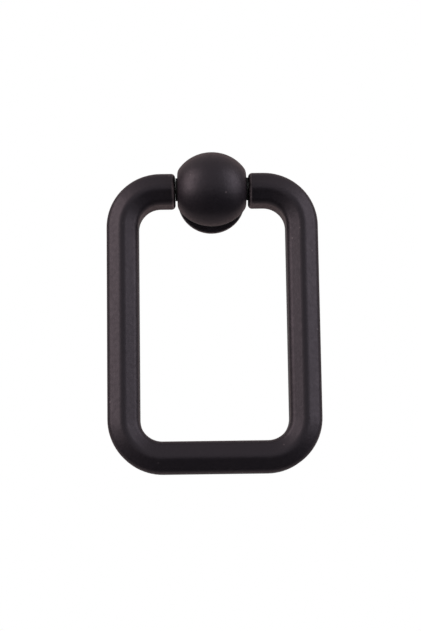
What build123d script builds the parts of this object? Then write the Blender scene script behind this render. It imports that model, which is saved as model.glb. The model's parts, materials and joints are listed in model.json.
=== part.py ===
"""Drop pull for a drawer or cupboard door: a ball post with a swinging bail.

Millimetres. The origin is the mouth of the screw hole, in the middle of the foot's back face.
+Z is up, +Y points into the drawer front, and the pull stands out along -Y.
"""

import os
from math import acos, cos, degrees, radians, tan

from build123d import *

os.makedirs("parts", exist_ok=True)

# Clearances
pin_run = 0.08
pin_end = 0.3
washer_bore_gap = 0.1
end_play = 0.1

# Ball post: a slightly broad ball with two flat cheeks, on a waist and a round foot
ball_d = 18.7
ball_w = 19.9
cheek_cut = 1.27
cheek_edge_r = 2.5
standoff = 13.6
waist_d = 9.8
foot_d = 17.5
foot_t = 2.0
foot_front_r = 0.4
foot_back_r = 0.25
waist_foot_r = 0.8

# M4 screw hole in the foot, cut to the thread's outer diameter
thread_d = 4.0
thread_depth = 8.5
drill_d = 3.3
drill_depth = 9.8
drill_point = 118.0

# Pivot pin and the spacer washers beside the ball
pin_d = 3.0
pin_grip = 2.4
pin_chamfer = 0.3
washer_od = 5.8
washer_t = 0.45

# Bail: a bar with flat sides and a soft ridge along its front
bar_w = 8.0
bar_front = 3.4
bar_back = 6.0
ridge_slope = 27.0
ridge_r = 2.0
shoulder_r = 2.2
back_edge_r = 0.8
bail_w = 53.2
bail_drop = 67.5
corner_r = 9.6
end_edge_r = 1.0

# Derived values
ball_r = ball_d / 2
waist_r = waist_d / 2
foot_r = foot_d / 2
cheek_x = ball_w / 2 - cheek_cut
end_x = cheek_x + washer_t + end_play
pin_half = end_x + pin_grip
bore_r = pin_d / 2 + pin_run
leg_x = (bail_w - bar_w) / 2
ridge_y = bar_front + ridge_r * (1 / cos(radians(ridge_slope)) - 1)
shoulder_y = ridge_y - bar_w / 2 * tan(radians(ridge_slope))
cheek_turn = degrees(acos(2 * cheek_x / ball_w))
point_h = drill_d / 2 / tan(radians(drill_point / 2))

# Planes across the pivot axis, one at each cheek of the ball
left_cheek = Plane(origin=(-cheek_x, -standoff, 0), x_dir=(0, 1, 0), z_dir=(-1, 0, 0))
right_cheek = Plane(origin=(cheek_x, -standoff, 0), x_dir=(0, 1, 0), z_dir=(1, 0, 0))


# Ball, waist and foot in one piece
with BuildPart() as ball_post:
    # Ball, turned about the pivot's axis, with flat round-edged cheeks where the ends of the bail stand
    with BuildSketch(Plane.XY):
        with BuildLine():
            rim = EllipticalCenterArc(
                (0, -standoff),
                ball_w / 2,
                ball_r,
                start_angle=cheek_turn,
                arc_size=180 - 2 * cheek_turn,
            )
            Polyline(rim @ 1, (-cheek_x, -standoff), (cheek_x, -standoff), rim @ 0)
        make_face()
    revolve(axis=Axis((0, -standoff, 0), (1, 0, 0)))
    fillet(ball_post.faces().filter_by(GeomType.PLANE).edges(), cheek_edge_r)
    # Waist and foot, turned about the screw's axis
    with BuildSketch(Plane.XY):
        Polygon(
            (0, -standoff),
            (waist_r, -standoff),
            (waist_r, -foot_t),
            (foot_r, -foot_t),
            (foot_r, 0),
            (0, 0),
            align=None,
        )
        fillet(vertices().sort_by_distance((waist_r, -foot_t))[0], waist_foot_r)
        fillet(vertices().sort_by_distance((foot_r, -foot_t))[0], foot_front_r)
        fillet(vertices().sort_by_distance((foot_r, 0))[0], foot_back_r)
    revolve(axis=Axis.Y)
    # Cross hole that the pivot pin is pressed into
    with BuildSketch(left_cheek):
        Circle(pin_d / 2)
    extrude(amount=-2 * cheek_x, mode=Mode.SUBTRACT)
    # Screw hole from the back, ending in the drill's point
    with BuildSketch(Plane.XY):
        Polygon(
            (0, 0),
            (thread_d / 2, 0),
            (thread_d / 2, -thread_depth),
            (drill_d / 2, -thread_depth),
            (drill_d / 2, -drill_depth),
            (0, -drill_depth - point_h),
            align=None,
        )
    revolve(axis=Axis.Y, mode=Mode.SUBTRACT)

# Steel pin across the ball, its ends standing in the bail
with BuildPart() as pivot_pin:
    with BuildSketch(Plane(origin=(-pin_half, -standoff, 0), x_dir=(0, 1, 0), z_dir=(1, 0, 0))):
        Circle(pin_d / 2)
    extrude(amount=2 * pin_half)
    chamfer(pivot_pin.edges().filter_by(GeomType.CIRCLE), pin_chamfer)

# Thin spacer washers between the cheeks and the ends of the bail
with BuildPart() as left_washer:
    with BuildSketch(left_cheek):
        Circle(washer_od / 2)
        Circle(pin_d / 2 + washer_bore_gap, mode=Mode.SUBTRACT)
    extrude(amount=washer_t)

with BuildPart() as right_washer:
    with BuildSketch(right_cheek):
        Circle(washer_od / 2)
        Circle(pin_d / 2 + washer_bore_gap, mode=Mode.SUBTRACT)
    extrude(amount=washer_t)

# Bail: one bar carried round a loop that is open at the ball
with BuildPart() as bail:
    with BuildLine(Plane(origin=(0, -standoff, 0), x_dir=(1, 0, 0), z_dir=(0, -1, 0))) as loop:
        FilletPolyline(
            (-end_x, 0),
            (-leg_x, 0),
            (-leg_x, -bail_drop),
            (leg_x, -bail_drop),
            (leg_x, 0),
            (end_x, 0),
            radius=corner_r,
        )
    with BuildSketch(Plane(origin=(-end_x, -standoff, 0), x_dir=(0, 0, 1), z_dir=(-1, 0, 0))):
        Polygon(
            (-bar_w / 2, bar_back),
            (-bar_w / 2, -shoulder_y),
            (0, -ridge_y),
            (bar_w / 2, -shoulder_y),
            (bar_w / 2, bar_back),
            align=None,
        )
        fillet(vertices().sort_by_distance((0, -ridge_y))[0], ridge_r)
        for side in (-bar_w / 2, bar_w / 2):
            fillet(vertices().sort_by_distance((side, -shoulder_y))[0], shoulder_r)
            fillet(vertices().sort_by_distance((side, bar_back))[0], back_edge_r)
    sweep(path=loop.line)
    # Soft edges round the two end faces
    end_faces = bail.faces().filter_by(Plane.YZ).sort_by_distance((0, -standoff, 0))[:2]
    fillet(end_faces.edges(), end_edge_r)
    # Blind bores for the ends of the pin
    with BuildSketch(left_cheek.offset(end_x - cheek_x), right_cheek.offset(end_x - cheek_x)):
        Circle(bore_r)
    extrude(amount=pin_grip + pin_end, mode=Mode.SUBTRACT)

ball_post.part.label = "ball_post"
export_step(ball_post.part, "parts/ball_post.step")
pivot_pin.part.label = "pivot_pin"
export_step(pivot_pin.part, "parts/pivot_pin.step")
left_washer.part.label = "left_washer"
export_step(left_washer.part, "parts/left_washer.step")
right_washer.part.label = "right_washer"
export_step(right_washer.part, "parts/right_washer.step")
bail.part.label = "bail"
export_step(bail.part, "parts/bail.step")
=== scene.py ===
import json
import math

import bpy
import numpy as np
from bpy.props import FloatProperty, FloatVectorProperty, IntProperty, PointerProperty, StringProperty
from bpy.types import Operator, Panel, PropertyGroup
from mathutils import Matrix, Vector


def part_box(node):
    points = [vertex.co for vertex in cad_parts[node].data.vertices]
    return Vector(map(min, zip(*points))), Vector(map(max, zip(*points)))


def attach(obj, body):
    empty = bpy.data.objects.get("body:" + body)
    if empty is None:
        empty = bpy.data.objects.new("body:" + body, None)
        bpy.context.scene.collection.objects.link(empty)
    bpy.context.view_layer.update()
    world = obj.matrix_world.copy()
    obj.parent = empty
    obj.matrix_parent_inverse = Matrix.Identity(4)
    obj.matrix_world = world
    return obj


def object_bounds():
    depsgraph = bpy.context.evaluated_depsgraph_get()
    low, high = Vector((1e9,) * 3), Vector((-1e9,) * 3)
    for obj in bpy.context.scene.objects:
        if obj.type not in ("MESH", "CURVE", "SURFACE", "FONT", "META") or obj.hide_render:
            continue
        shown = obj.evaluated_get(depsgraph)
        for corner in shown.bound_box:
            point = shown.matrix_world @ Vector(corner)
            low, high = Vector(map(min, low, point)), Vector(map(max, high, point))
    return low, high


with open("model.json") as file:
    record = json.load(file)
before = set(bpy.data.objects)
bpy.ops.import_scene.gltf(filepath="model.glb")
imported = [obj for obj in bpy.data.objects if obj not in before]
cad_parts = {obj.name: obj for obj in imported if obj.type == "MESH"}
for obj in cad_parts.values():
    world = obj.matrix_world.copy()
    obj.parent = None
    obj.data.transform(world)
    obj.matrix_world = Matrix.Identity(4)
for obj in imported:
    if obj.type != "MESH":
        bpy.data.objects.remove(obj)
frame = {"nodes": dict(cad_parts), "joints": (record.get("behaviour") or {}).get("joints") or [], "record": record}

bl_info = {
    "name": "Drop Pull",
    "version": (1, 0, 0),
    "blender": (4, 5, 0),
    "location": "3D View > Sidebar > Drop Pull",
    "description": "Finishes and stages a ball-post drop pull for a drawer",
    "category": "Object",
}

MM = 0.001

# From the frame: the CAD box, its middle, the pivot, the threaded depth and the right washer's outer face
CAD_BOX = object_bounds()
MIDDLE = (Vector(CAD_BOX[0]) + Vector(CAD_BOX[1])) / 2
PIVOT = Vector(frame["joints"][0]["pos_m"])
SCREW_HOLE = next(mount for mount in frame["record"]["mounts"] if mount["name"] == "screw_hole")
THREAD_DEPTH = SCREW_HOLE["dims"]["length_mm"] * MM
WASHER_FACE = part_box("right_washer")[1][0]

# Height of the image in pixels, which the focal length goes with, and of the camera's sensor in millimetres
IMAGE_HEIGHT = 631
SENSOR_HEIGHT = 36.0

# Sockets of a colour Mix node, by number because its other types share their names
MIX_A = 6
MIX_B = 7
MIX_RESULT = 2

# Most values of a Noise texture lie in this span
NOISE_LOW = 0.3
NOISE_HIGH = 0.7

# Spacing of the bands of a Wave texture of scale 1
WAVE_SPACING = math.pi / 10


class DropPullFinish(PropertyGroup):
    """Colours and surface detail of the pull's materials"""

    coat_dark: StringProperty(name="Coat, dark", description="Darker tone of the coat", default="#151519")
    coat_light: StringProperty(
        name="Coat, light", description="Lighter tone of the coat", default="#19181c",
    )
    coat_sheen: StringProperty(name="Coat sheen", description="Tint of the highlights", default="#fbf5ff")
    coat_roughness: FloatProperty(
        name="Coat roughness", description="How wide the coat's highlights are", default=0.44,
        min=0.0, max=1.0, subtype="FACTOR",
    )
    coat_specular: FloatProperty(
        name="Coat specular", description="Strength of the coat's highlights", default=0.3,
        min=0.0, max=1.0, subtype="FACTOR",
    )
    coat_ior: FloatProperty(
        name="Coat IOR", description="Index of refraction of the coat", default=1.45, min=1.0, max=2.0,
    )
    film: FloatProperty(
        name="Film", description="How much of the coat the clear film covers", default=0.6,
        min=0.0, max=1.0, subtype="FACTOR",
    )
    film_tint: StringProperty(
        name="Film tint", description="Tint of the film, deeper at grazing angles", default="#ead6d7",
    )
    cloud_size: FloatProperty(
        name="Cloud size", description="Width of the changes of tone", default=14 * MM, unit="LENGTH",
    )
    peel_size: FloatProperty(
        name="Peel size", description="Width of the orange peel", default=0.9 * MM, unit="LENGTH",
    )
    peel_depth: FloatProperty(
        name="Peel depth", description="Depth of the orange peel", default=0.08 * MM, unit="LENGTH",
    )
    peel_strength: FloatProperty(
        name="Peel strength", description="How much of its depth the orange peel shows", default=0.48,
        min=0.0, max=1.0, subtype="FACTOR",
    )
    peel_roughness: FloatProperty(
        name="Peel roughness", description="Change of roughness with the orange peel", default=0.04,
        min=0.0, max=0.2,
    )
    # The next seven settings paint a highlight: a light line along the bail's end edges beside the ball, where the
    # edges would catch the light, broken into patches by noise.
    edge_highlight: StringProperty(
        name="Rubbed edge", description="Tone of the coat where it is rubbed thin", default="#5c5759",
    )
    highlight_offset: FloatProperty(
        name="Rub offset", description="From a washer's outer face to the rubbed line beside it",
        default=0.65 * MM, unit="LENGTH",
    )
    highlight_reach: FloatProperty(
        name="Rub reach", description="From the middle of the rubbed line to where it ends",
        default=0.45 * MM, unit="LENGTH",
    )
    highlight_core: FloatProperty(
        name="Rub core", description="From the middle of the rubbed line to where it starts to fade",
        default=0.05 * MM, unit="LENGTH",
    )
    highlight_floor: FloatVectorProperty(
        name="Rub floor", description="Heights at which the rubbed line ends and is whole",
        default=(-8 * MM, -6 * MM), size=2, unit="LENGTH",
    )
    highlight_patch: FloatProperty(
        name="Rub patches", description="Width of the patches in the rubbed line",
        default=2.5 * MM, unit="LENGTH",
    )
    highlight_full: FloatProperty(
        name="Rub full", description="Noise value past which a patch is rubbed all through", default=0.6,
        min=0.0, max=1.0, subtype="FACTOR",
    )
    dust: StringProperty(name="Dust", description="Colour of the stray dust specks", default="#4a4648")
    dust_spacing: FloatProperty(
        name="Dust spacing", description="Spacing of the specks in space; those near the surface show",
        default=4.0 * MM, unit="LENGTH",
    )
    dust_reach: FloatProperty(
        name="Dust reach", description="Radius at which a speck ends", default=0.34 * MM, unit="LENGTH",
    )
    dust_core: FloatProperty(
        name="Dust core", description="Radius at which a speck starts to fade",
        default=0.06 * MM, unit="LENGTH",
    )
    steel: StringProperty(name="Steel", description="Colour of the bare steel", default="#a9a8a6")
    steel_roughness: FloatProperty(
        name="Steel roughness", description="How wide the steel's highlights are", default=0.33,
        min=0.0, max=1.0, subtype="FACTOR",
    )
    ring_spacing: FloatProperty(
        name="Ring spacing", description="Spacing of the lathe rings, coarse enough to show",
        default=0.9425 * MM, unit="LENGTH",
    )
    ring_roughness: FloatProperty(
        name="Ring roughness", description="Change of roughness with the rings", default=0.07,
        min=0.0, max=0.2,
    )
    # Washer colour set near black: black nylon, darkened as painted shade for the narrow gap between the ball and
    # the bail ends
    shaded_nylon: StringProperty(name="Nylon", description="Colour of the washers", default="#0a0a0a")
    nylon_roughness: FloatProperty(
        name="Nylon roughness", description="How wide the nylon's highlights are", default=0.7,
        min=0.0, max=1.0, subtype="FACTOR",
    )
    grain_size: FloatProperty(
        name="Grain size", description="Width of the nylon's grain", default=0.3 * MM, unit="LENGTH",
    )
    grain_roughness: FloatProperty(
        name="Grain roughness", description="Change of roughness with the grain", default=0.08,
        min=0.0, max=0.2,
    )


class DropPullThread(PropertyGroup):
    """Sizes of the M4 thread in the foot's hole"""

    pitch: FloatProperty(
        name="Pitch", description="Advance of the thread in one turn", default=0.7 * MM, unit="LENGTH",
    )
    minor_radius: FloatProperty(
        name="Minor radius", description="Radius at the crest of the thread",
        default=1.65 * MM, unit="LENGTH",
    )
    root_radius: FloatProperty(
        name="Root radius", description="Radius at the foot of the ridge, just past the wall of the hole",
        default=2.01 * MM, unit="LENGTH",
    )
    run_in: FloatProperty(
        name="Run-in", description="Plain depth at the mouth and at the end",
        default=0.5 * MM, unit="LENGTH",
    )
    steps: IntProperty(name="Steps per turn", description="Points along each turn", default=48, min=8)


class DropPullStage(PropertyGroup):
    """Camera, floor and light of the stage"""

    focal_px: FloatProperty(
        name="Focal length", description="Focal length in pixels of the image",
        default=1500.0, subtype="PIXEL",
    )
    pitch: FloatProperty(
        name="Pitch", description="Upward tilt of the view", default=math.radians(8.265), subtype="ANGLE",
    )
    yaw: FloatProperty(
        name="Yaw", description="Sideways turn of the view", default=math.radians(0.5), subtype="ANGLE",
    )
    roll: FloatProperty(
        name="Roll", description="Turn of the view about its axis", default=math.radians(-0.799),
        subtype="ANGLE",
    )
    offset: FloatVectorProperty(
        name="Offset", description="From the pivot to the camera: across the view, up it and back along it",
        default=(-0.309 * MM, -31.90 * MM, 379.25 * MM), unit="LENGTH",
    )
    floor_z: FloatProperty(
        name="Floor height", description="Height of the floor", default=-0.25, unit="LENGTH",
    )
    floor_width: FloatProperty(
        name="Floor width", description="Width and depth of the floor", default=12.0, unit="LENGTH",
    )
    floor_paint: StringProperty(name="Floor paint", description="Colour of the floor", default="#f2f2f2")
    floor_fade: FloatVectorProperty(
        name="Floor fade", description="Distances at which the floor starts to whiten and is white",
        default=(0.22, 1.0), size=2, unit="LENGTH",
    )
    flag_cloth: StringProperty(name="Flag cloth", description="Colour of the flags", default="#0c0c0c")
    flag_lift: FloatProperty(
        name="Flag lift", description="Height of the flags' lower edges over the floor",
        default=2 * MM, unit="LENGTH",
    )
    front_flag: FloatVectorProperty(
        name="Front flag", description="Width and depth of the flag that lies in front",
        default=(1.2, 1.0), size=2, unit="LENGTH",
    )
    back_flag: FloatVectorProperty(
        name="Back flag", description="Width and depth of the flag that lies behind",
        default=(1.2, 0.6), size=2, unit="LENGTH",
    )
    back_start: FloatProperty(
        name="Back start", description="Where the front edge of the back flag lies",
        default=1.0, unit="LENGTH",
    )
    side_distance: FloatProperty(
        name="Side distance", description="From the middle to each side flag", default=0.9, unit="LENGTH",
    )
    side_start: FloatProperty(
        name="Side start", description="Where the front edges of the side flags stand",
        default=-0.15, unit="LENGTH",
    )
    side_depth: FloatVectorProperty(
        name="Side depth", description="Depth of the left and the right flag",
        default=(0.7, 0.45), size=2, unit="LENGTH",
    )
    side_height: FloatProperty(
        name="Side height", description="Height of the side flags", default=0.95, unit="LENGTH",
    )
    softbox_place: FloatVectorProperty(
        name="Softbox place", description="Where the right softbox stands; the left one mirrors it",
        default=(0.62, -0.30, 0.20), unit="LENGTH",
    )
    softbox_size: FloatVectorProperty(
        name="Softbox size", description="Width and height of each softbox",
        default=(0.45, 0.7), size=2, unit="LENGTH",
    )
    left_light: FloatProperty(
        name="Left light", description="Power of the left softbox", default=6.6, unit="POWER",
    )
    right_light: FloatProperty(
        name="Right light", description="Power of the right softbox", default=4.9, unit="POWER",
    )
    left_tint: StringProperty(name="Left tint", description="Colour of the left light", default="#fcf4f4")
    right_tint: StringProperty(
        name="Right tint", description="Colour of the right light", default="#f4f7ff",
    )
    fill: FloatProperty(
        name="Fill", description="Strength of the surround as light on the pull", default=0.2,
        min=0.0, max=1.0, subtype="FACTOR",
    )


def linear(hex_colour):
    """An sRGB hex colour as linear RGBA.

    Each channel c, from 0 to 1, becomes ((c + 0.055) / 1.055) ^ 2.4, or c / 12.92 where it is dark.
    """
    channels = np.array(list(bytes.fromhex(hex_colour.lstrip("#")))) / 255
    bright = ((channels + 0.055) / 1.055) ** 2.4
    colour = np.where(channels <= 0.04045, channels / 12.92, bright)
    return (*colour.tolist(), 1.0)


def node(tree, kind, inputs, **settings):
    """Adds one node with its settings: an input, by name or number, is a value or a socket to link from."""
    made = tree.nodes.new(kind)
    for name, value in settings.items():
        setattr(made, name, value)
    for key, value in inputs.items():
        if isinstance(value, bpy.types.NodeSocket):
            tree.links.new(value, made.inputs[key])
        else:
            made.inputs[key].default_value = value
    return made


def empty_material(name):
    """A new material with an empty node tree, and that tree."""
    material = bpy.data.materials.new(name)
    material.use_nodes = True
    material.node_tree.nodes.clear()
    return material, material.node_tree


def add_object(name, data):
    """A new object at the origin, in the scene."""
    made = bpy.data.objects.new(name, data)
    bpy.context.scene.collection.objects.link(made)
    return made


def painted_edge_highlight(tree, place, look):
    """Mask of a painted highlight: an uneven light line on the bail's end edges beside the ball,
    where the edges would catch the light.

    It is the nearness of |x| to the edge, times 1 above the floor height, which leaves out the
    bottom bar, times patches of noise.
    """
    axes = node(tree, "ShaderNodeSeparateXYZ", {"Vector": place}).outputs
    side = node(tree, "ShaderNodeMath", {0: axes["X"]}, operation="ABSOLUTE").outputs[0]
    edge = WASHER_FACE + look.highlight_offset
    past = node(tree, "ShaderNodeMath", {0: side, 1: edge}, operation="SUBTRACT").outputs[0]
    gap = node(tree, "ShaderNodeMath", {0: past}, operation="ABSOLUTE").outputs[0]
    width = {"Value": gap, "From Min": look.highlight_reach, "From Max": look.highlight_core}
    line = node(tree, "ShaderNodeMapRange", width, interpolation_type="SMOOTHSTEP").outputs["Result"]
    bottom, whole = look.highlight_floor
    height = {"Value": axes["Z"], "From Min": bottom, "From Max": whole}
    above = node(tree, "ShaderNodeMapRange", height).outputs["Result"]
    patches = {"Vector": place, "Scale": 1 / look.highlight_patch, "Detail": 1.0}
    noise = node(tree, "ShaderNodeTexNoise", patches).outputs["Fac"]
    patch_span = {"Value": noise, "From Min": NOISE_LOW, "From Max": look.highlight_full}
    patchy = node(tree, "ShaderNodeMapRange", patch_span).outputs["Result"]
    short = node(tree, "ShaderNodeMath", {0: line, 1: above}, operation="MULTIPLY").outputs[0]
    return node(tree, "ShaderNodeMath", {0: short, 1: patchy}, operation="MULTIPLY").outputs[0]


def dust_specks(tree, place, look):
    """Mask of stray soft specks: 1 near the points of a Voronoi texture, and 0 past the dust's reach."""
    points = {"Vector": place, "Scale": 1 / look.dust_spacing, "Randomness": 1.0}
    distance = node(tree, "ShaderNodeTexVoronoi", points).outputs["Distance"]
    fall = {
        "Value": distance,
        "From Min": look.dust_reach / look.dust_spacing,
        "From Max": look.dust_core / look.dust_spacing,
    }
    return node(tree, "ShaderNodeMapRange", fall, interpolation_type="SMOOTHSTEP").outputs["Result"]


def satin_black_coat(look):
    """Satin black coat baked on cast metal: plum-black, with soft wide highlights and browner edges."""
    material, tree = empty_material("satin_black_coat")
    place = node(tree, "ShaderNodeTexCoord", {}).outputs["Object"]
    # Faint clouds of tone
    clouds = {"Vector": place, "Scale": 1 / look.cloud_size, "Detail": 3.0}
    cloud = node(tree, "ShaderNodeTexNoise", clouds).outputs["Fac"]
    tones = {"Factor": cloud, MIX_A: linear(look.coat_dark), MIX_B: linear(look.coat_light)}
    tone = node(tree, "ShaderNodeMix", tones, data_type="RGBA").outputs[MIX_RESULT]
    # Painted highlight along the bail's end edges, and dust specks, over the tone
    marks = ((painted_edge_highlight(tree, place, look), look.edge_highlight), (dust_specks(tree, place, look), look.dust))
    for mask, colour in marks:
        over = {"Factor": mask, MIX_A: tone, MIX_B: linear(colour)}
        tone = node(tree, "ShaderNodeMix", over, data_type="RGBA").outputs[MIX_RESULT]
    # Orange peel of the baked coat, which breaks up the highlights as a fine grain
    grain = {"Vector": place, "Scale": 1 / look.peel_size, "Detail": 2.0}
    peel = node(tree, "ShaderNodeTexNoise", grain).outputs["Fac"]
    spread = {
        "Value": peel,
        "From Min": NOISE_LOW,
        "From Max": NOISE_HIGH,
        "To Min": look.coat_roughness - look.peel_roughness,
        "To Max": look.coat_roughness + look.peel_roughness,
    }
    rough = node(tree, "ShaderNodeMapRange", spread).outputs["Result"]
    relief = {"Height": peel, "Strength": look.peel_strength, "Distance": look.peel_depth}
    bump = node(tree, "ShaderNodeBump", relief).outputs["Normal"]
    # The shader's coat layer is a clear film with no gloss of its own, which browns the grazing angles
    surface = {
        "Base Color": tone,
        "Roughness": rough,
        "IOR": look.coat_ior,
        "Specular IOR Level": look.coat_specular,
        "Specular Tint": linear(look.coat_sheen),
        "Coat Weight": look.film,
        "Coat Roughness": look.coat_roughness,
        "Coat IOR": 1.0,
        "Coat Tint": linear(look.film_tint),
        "Normal": bump,
    }
    shader = node(tree, "ShaderNodeBsdfPrincipled", surface).outputs["BSDF"]
    node(tree, "ShaderNodeOutputMaterial", {"Surface": shader})
    return material


def bare_steel(look):
    """Bare turned steel: grey metal with fine lathe rings along the pin's axis."""
    material, tree = empty_material("bare_turned_steel")
    place = node(tree, "ShaderNodeTexCoord", {}).outputs["Object"]
    bands = {"Vector": place, "Scale": WAVE_SPACING / look.ring_spacing, "Distortion": 1.0}
    rings = node(tree, "ShaderNodeTexWave", bands, bands_direction="X").outputs["Fac"]
    spread = {
        "Value": rings,
        "To Min": look.steel_roughness - look.ring_roughness,
        "To Max": look.steel_roughness + look.ring_roughness,
    }
    rough = node(tree, "ShaderNodeMapRange", spread).outputs["Result"]
    surface = {"Base Color": linear(look.steel), "Metallic": 1.0, "Roughness": rough}
    shader = node(tree, "ShaderNodeBsdfPrincipled", surface).outputs["BSDF"]
    node(tree, "ShaderNodeOutputMaterial", {"Surface": shader})
    return material


def shaded_black_nylon(look):
    """Moulded black nylon: matte, with a fine dry grain; its colour is set darker, as painted shade for the narrow
    gap between the ball and the bail ends.
    """
    material, tree = empty_material("black_nylon_with_painted_shade")
    place = node(tree, "ShaderNodeTexCoord", {}).outputs["Object"]
    speckle = {"Vector": place, "Scale": 1 / look.grain_size, "Detail": 2.0}
    grain = node(tree, "ShaderNodeTexNoise", speckle).outputs["Fac"]
    spread = {
        "Value": grain,
        "To Min": look.nylon_roughness - look.grain_roughness,
        "To Max": look.nylon_roughness + look.grain_roughness,
    }
    rough = node(tree, "ShaderNodeMapRange", spread).outputs["Result"]
    surface = {"Base Color": linear(look.shaded_nylon), "Roughness": rough, "IOR": 1.53, "Specular IOR Level": 0.1}
    shader = node(tree, "ShaderNodeBsdfPrincipled", surface).outputs["BSDF"]
    node(tree, "ShaderNodeOutputMaterial", {"Surface": shader})
    return material


def dress(name, material):
    """Gives a CAD node one material in place of those it came with."""
    materials = frame["nodes"][name].data.materials
    materials.clear()
    materials.append(material)


class DROPPULL_OT_coat(Operator):
    """Gives the ball post and the bail their black coat"""

    bl_idname = "drop_pull.coat"
    bl_label = "Coat the Post and Bail"

    def execute(self, context):
        coat = satin_black_coat(context.scene.drop_pull_finish)
        dress("ball_post", coat)
        dress("bail", coat)
        return {"FINISHED"}


class DROPPULL_OT_pivot(Operator):
    """Gives the pivot pin and the washers their finishes"""

    bl_idname = "drop_pull.pivot"
    bl_label = "Finish the Pin and Washers"

    def execute(self, context):
        look = context.scene.drop_pull_finish
        shaded_nylon = shaded_black_nylon(look)
        dress("pivot_pin", bare_steel(look))
        dress("left_washer", shaded_nylon)
        dress("right_washer", shaded_nylon)
        return {"FINISHED"}


def closed_tube(name, points):
    """A mesh from rows of points: each row is a closed loop, and the first and last are one point each."""
    rows, loop = points.shape[:2]
    body = points[1:-1].reshape(-1, 3)
    vertices = np.concatenate([body, points[:1, 0], points[-1:, 0]])
    first = len(body)
    last = first + 1
    here = np.arange(loop)
    ahead = (here + 1) % loop
    base = np.arange(rows - 3)[:, None] * loop
    quads = np.stack([base + here, base + ahead, base + loop + ahead, base + loop + here], axis=2)
    end = (rows - 3) * loop
    start_fan = np.stack([np.full(loop, first), ahead, here], axis=1)
    end_fan = np.stack([np.full(loop, last), end + here, end + ahead], axis=1)
    faces = quads.reshape(-1, 4).tolist() + start_fan.tolist() + end_fan.tolist()
    mesh = bpy.data.meshes.new(name)
    mesh.from_pydata(vertices.tolist(), [], faces)
    mesh.validate()
    return add_object(name, mesh)


def ridge_in_hole(name, cut, depth):
    """One helical ridge round the inside of a hole that opens at the origin along +Y.

    The profile is a closed loop of six points: a 60 degree tooth between the root and minor radii, with a
    crest a quarter of the pitch wide. It is carried round the hole while it advances by one pitch a
    turn, and shrinks to a point over the first and last half turn. At angle t, a point of the profile
    with radius r, and a along the hole, lies at
    x = r sin t, z = r cos t, y = pitch t / 2 pi + run-in - depth + a.
    """
    turns = (depth - 2 * cut.run_in) / cut.pitch
    t = np.linspace(0.0, 2 * math.pi * turns, int(cut.steps * turns) + 1)
    tall = cut.root_radius - cut.minor_radius
    half_crest = cut.pitch / 8
    half_foot = half_crest + tall * math.tan(math.radians(30))
    halfway = (half_foot + half_crest) / 2
    inward = np.array([0.0, 0.5, 1.0, 1.0, 0.5, 0.0]) * tall
    along = np.array([-half_foot, -halfway, -half_crest, half_crest, halfway, half_foot])
    size = np.clip(np.minimum(t, t[-1] - t) / math.pi, 0.0, 1.0)[:, None]
    r = cut.root_radius - size * inward
    y = cut.pitch * t[:, None] / (2 * math.pi) + cut.run_in - depth + size * along
    points = np.stack([r * np.sin(t)[:, None], y, r * np.cos(t)[:, None]], axis=2)
    return closed_tube(name, points)


class DROPPULL_OT_thread(Operator):
    """Makes the M4 thread in the foot's screw hole, in the pin's bare steel"""

    bl_idname = "drop_pull.thread"
    bl_label = "Make the Screw Thread"

    def execute(self, context):
        ridge = ridge_in_hole("screw_thread", context.scene.drop_pull_thread, THREAD_DEPTH)
        ridge.data.materials.append(frame["nodes"]["pivot_pin"].data.materials["bare_turned_steel"])
        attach(ridge, "post")
        return {"FINISHED"}


def card(name, corner, across, along, material):
    """A flat rectangle that belongs to the stage: corner + u across + v along, with u and v from 0 to 1."""
    u, v = np.meshgrid([0.0, 1.0], [0.0, 1.0])
    points = np.array(corner) + u.reshape(-1, 1) * np.array(across) + v.reshape(-1, 1) * np.array(along)
    mesh = bpy.data.meshes.new(name)
    mesh.from_pydata(points.tolist(), [], [(0, 1, 3, 2)])
    mesh.materials.append(material)
    made = add_object(name, mesh)
    return made


def seen_rays(tree):
    """Socket that is 1 for rays from the camera, off glossy or through clear surfaces, and 0 for others."""
    rays = node(tree, "ShaderNodeLightPath", {}).outputs
    pair = {0: rays["Is Camera Ray"], 1: rays["Is Glossy Ray"]}
    seen = node(tree, "ShaderNodeMath", pair, operation="MAXIMUM").outputs[0]
    pair = {0: seen, 1: rays["Is Transmission Ray"]}
    return node(tree, "ShaderNodeMath", pair, operation="MAXIMUM").outputs[0]


def pale_floor(stage):
    """The floor: pale matte paint that takes the shadow, and whitens with the distance from the pull."""
    material, tree = empty_material("pale_floor_paint")
    place = node(tree, "ShaderNodeTexCoord", {}).outputs["Object"]
    away = node(tree, "ShaderNodeVectorMath", {0: place}, operation="LENGTH").outputs["Value"]
    start, end = stage.floor_fade
    span = {"Value": away, "From Min": start, "From Max": end}
    fade = node(tree, "ShaderNodeMapRange", span, interpolation_type="SMOOTHSTEP").outputs["Result"]
    white = node(tree, "ShaderNodeMath", {0: seen_rays(tree), 1: fade}, operation="MULTIPLY").outputs[0]
    paint = node(tree, "ShaderNodeBsdfDiffuse", {"Color": linear(stage.floor_paint)}).outputs["BSDF"]
    light = {"Color": linear("#ffffff"), "Strength": 1.0}
    glow = node(tree, "ShaderNodeEmission", light).outputs["Emission"]
    mix = node(tree, "ShaderNodeMixShader", {0: white, 1: paint, 2: glow}).outputs["Shader"]
    node(tree, "ShaderNodeOutputMaterial", {"Surface": mix})
    width = stage.floor_width
    corner = (-width / 2, -width / 2, stage.floor_z)
    card("floor", corner, (width, 0.0, 0.0), (0.0, width, 0.0), material)


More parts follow.
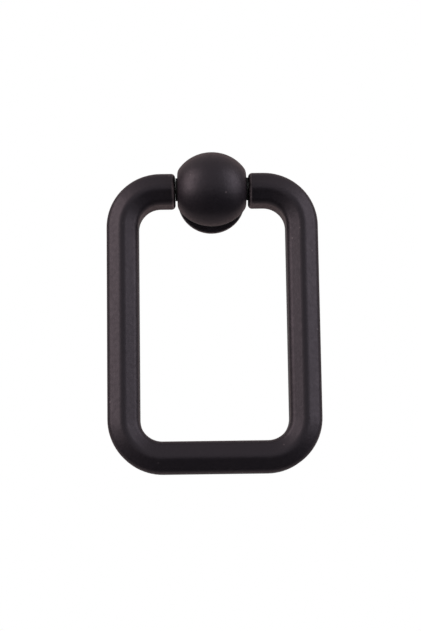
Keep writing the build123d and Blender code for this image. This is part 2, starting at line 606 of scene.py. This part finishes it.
def black_flags(stage):
    """Black cloth flags in front, behind and at each side, which only reflections show."""
    material, tree = empty_material("black_flag_cloth")
    cloth = node(tree, "ShaderNodeBsdfDiffuse", {"Color": linear(stage.flag_cloth)}).outputs["BSDF"]
    node(tree, "ShaderNodeOutputMaterial", {"Surface": cloth})
    low = stage.floor_z + stage.flag_lift
    width, depth = stage.front_flag
    before = (-width / 2, -depth, low)
    back_width, back_depth = stage.back_flag
    behind = (-back_width / 2, stage.back_start, low)
    up = (0.0, 0.0, stage.side_height)
    left, right = stage.side_depth
    beside = stage.side_distance
    flags = (
        card("front_flag", before, (width, 0.0, 0.0), (0.0, depth, 0.0), material),
        card("back_flag", behind, (back_width, 0.0, 0.0), (0.0, back_depth, 0.0), material),
        card("left_flag", (-beside, stage.side_start, low), (0.0, left, 0.0), up, material),
        card("right_flag", (beside, stage.side_start, low), (0.0, right, 0.0), up, material),
    )
    for flag in flags:
        flag.visible_camera = False
        flag.visible_diffuse = False
        flag.visible_shadow = False


def white_surround(stage):
    """A world that is white where it is seen, and lights the pull as a weak even fill."""
    world = bpy.data.worlds.new("white_surround")
    world.use_nodes = True
    tree = world.node_tree
    tree.nodes.clear()
    white = linear("#ffffff")
    fill = node(tree, "ShaderNodeBackground", {"Color": white, "Strength": stage.fill}).outputs[0]
    shown = node(tree, "ShaderNodeBackground", {"Color": white, "Strength": 1.0}).outputs[0]
    mix = node(tree, "ShaderNodeMixShader", {0: seen_rays(tree), 1: fill, 2: shown}).outputs["Shader"]
    node(tree, "ShaderNodeOutputWorld", {"Surface": mix})
    return world


def softbox(name, place, size, watts, tint):
    """A rectangular area lamp that points at the middle of the pull."""
    lamp = bpy.data.lights.new(name, "AREA")
    lamp.shape = "RECTANGLE"
    lamp.size, lamp.size_y = size
    lamp.energy = watts
    lamp.color = linear(tint)[:3]
    turn = (MIDDLE - place).to_track_quat("-Z", "Y")
    add_object(name, lamp).matrix_world = Matrix.Translation(place) @ turn.to_matrix().to_4x4()


def view_camera(stage):
    """A camera at the stage's offset from the pivot, turned by the stage's yaw, pitch and roll."""
    camera = bpy.data.cameras.new("camera")
    camera.sensor_fit = "VERTICAL"
    camera.sensor_height = SENSOR_HEIGHT
    camera.lens = stage.focal_px / IMAGE_HEIGHT * SENSOR_HEIGHT
    camera.clip_start = 10 * MM
    level = math.cos(stage.pitch)
    forward = Vector((math.sin(stage.yaw) * level, math.cos(stage.yaw) * level, math.sin(stage.pitch)))
    right = Vector((math.cos(stage.yaw), -math.sin(stage.yaw), 0.0))
    up = right.cross(forward)
    turn = Matrix.Rotation(stage.roll, 3, -forward)
    axes = Matrix((turn @ right, turn @ up, -forward)).transposed()
    place = PIVOT + axes @ Vector(stage.offset)
    made = add_object("camera", camera)
    made.matrix_world = Matrix.Translation(place) @ axes.to_4x4()
    return made


class DROPPULL_OT_stage(Operator):
    """Sets the floor, the flags, the white surround, the softboxes and the camera"""

    bl_idname = "drop_pull.stage"
    bl_label = "Set the Stage"

    def execute(self, context):
        scene = context.scene
        stage = scene.drop_pull_stage
        scene.view_settings.view_transform = "Standard"
        pale_floor(stage)
        black_flags(stage)
        scene.world = white_surround(stage)
        x, y, z = stage.softbox_place
        size = stage.softbox_size
        softbox("left_softbox", Vector((-x, y, z)), size, stage.left_light, stage.left_tint)
        softbox("right_softbox", Vector((x, y, z)), size, stage.right_light, stage.right_tint)
        scene.camera = view_camera(stage)
        return {"FINISHED"}


class DROPPULL_PT_panel(Panel):
    """Lists the drop pull's operators, and the sizes and colours that they use"""

    bl_idname = "DROPPULL_PT_panel"
    bl_label = "Drop Pull"
    bl_space_type = "VIEW_3D"
    bl_region_type = "UI"
    bl_category = "Drop Pull"

    def draw(self, context):
        for operator in OPERATORS:
            self.layout.operator(operator.bl_idname)
        for name, group in GROUPS.items():
            box = self.layout.box()
            for setting in group.__annotations__:
                box.prop(getattr(context.scene, name), setting)


GROUPS = {
    "drop_pull_finish": DropPullFinish,
    "drop_pull_thread": DropPullThread,
    "drop_pull_stage": DropPullStage,
}
OPERATORS = (DROPPULL_OT_coat, DROPPULL_OT_pivot, DROPPULL_OT_thread, DROPPULL_OT_stage)
CLASSES = (*GROUPS.values(), *OPERATORS, DROPPULL_PT_panel)


def register():
    """Registers the classes and gives the scene its settings."""
    for cls in CLASSES:
        bpy.utils.register_class(cls)
    for name, group in GROUPS.items():
        setattr(bpy.types.Scene, name, PointerProperty(type=group))


def unregister():
    """Takes the settings off the scene and unregisters the classes."""
    for name in GROUPS:
        delattr(bpy.types.Scene, name)
    for cls in reversed(CLASSES):
        bpy.utils.unregister_class(cls)


def main():
    """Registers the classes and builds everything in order."""
    register()
    bpy.ops.drop_pull.coat()
    bpy.ops.drop_pull.pivot()
    bpy.ops.drop_pull.thread()
    bpy.ops.drop_pull.stage()


if __name__ == "__main__":
    main()
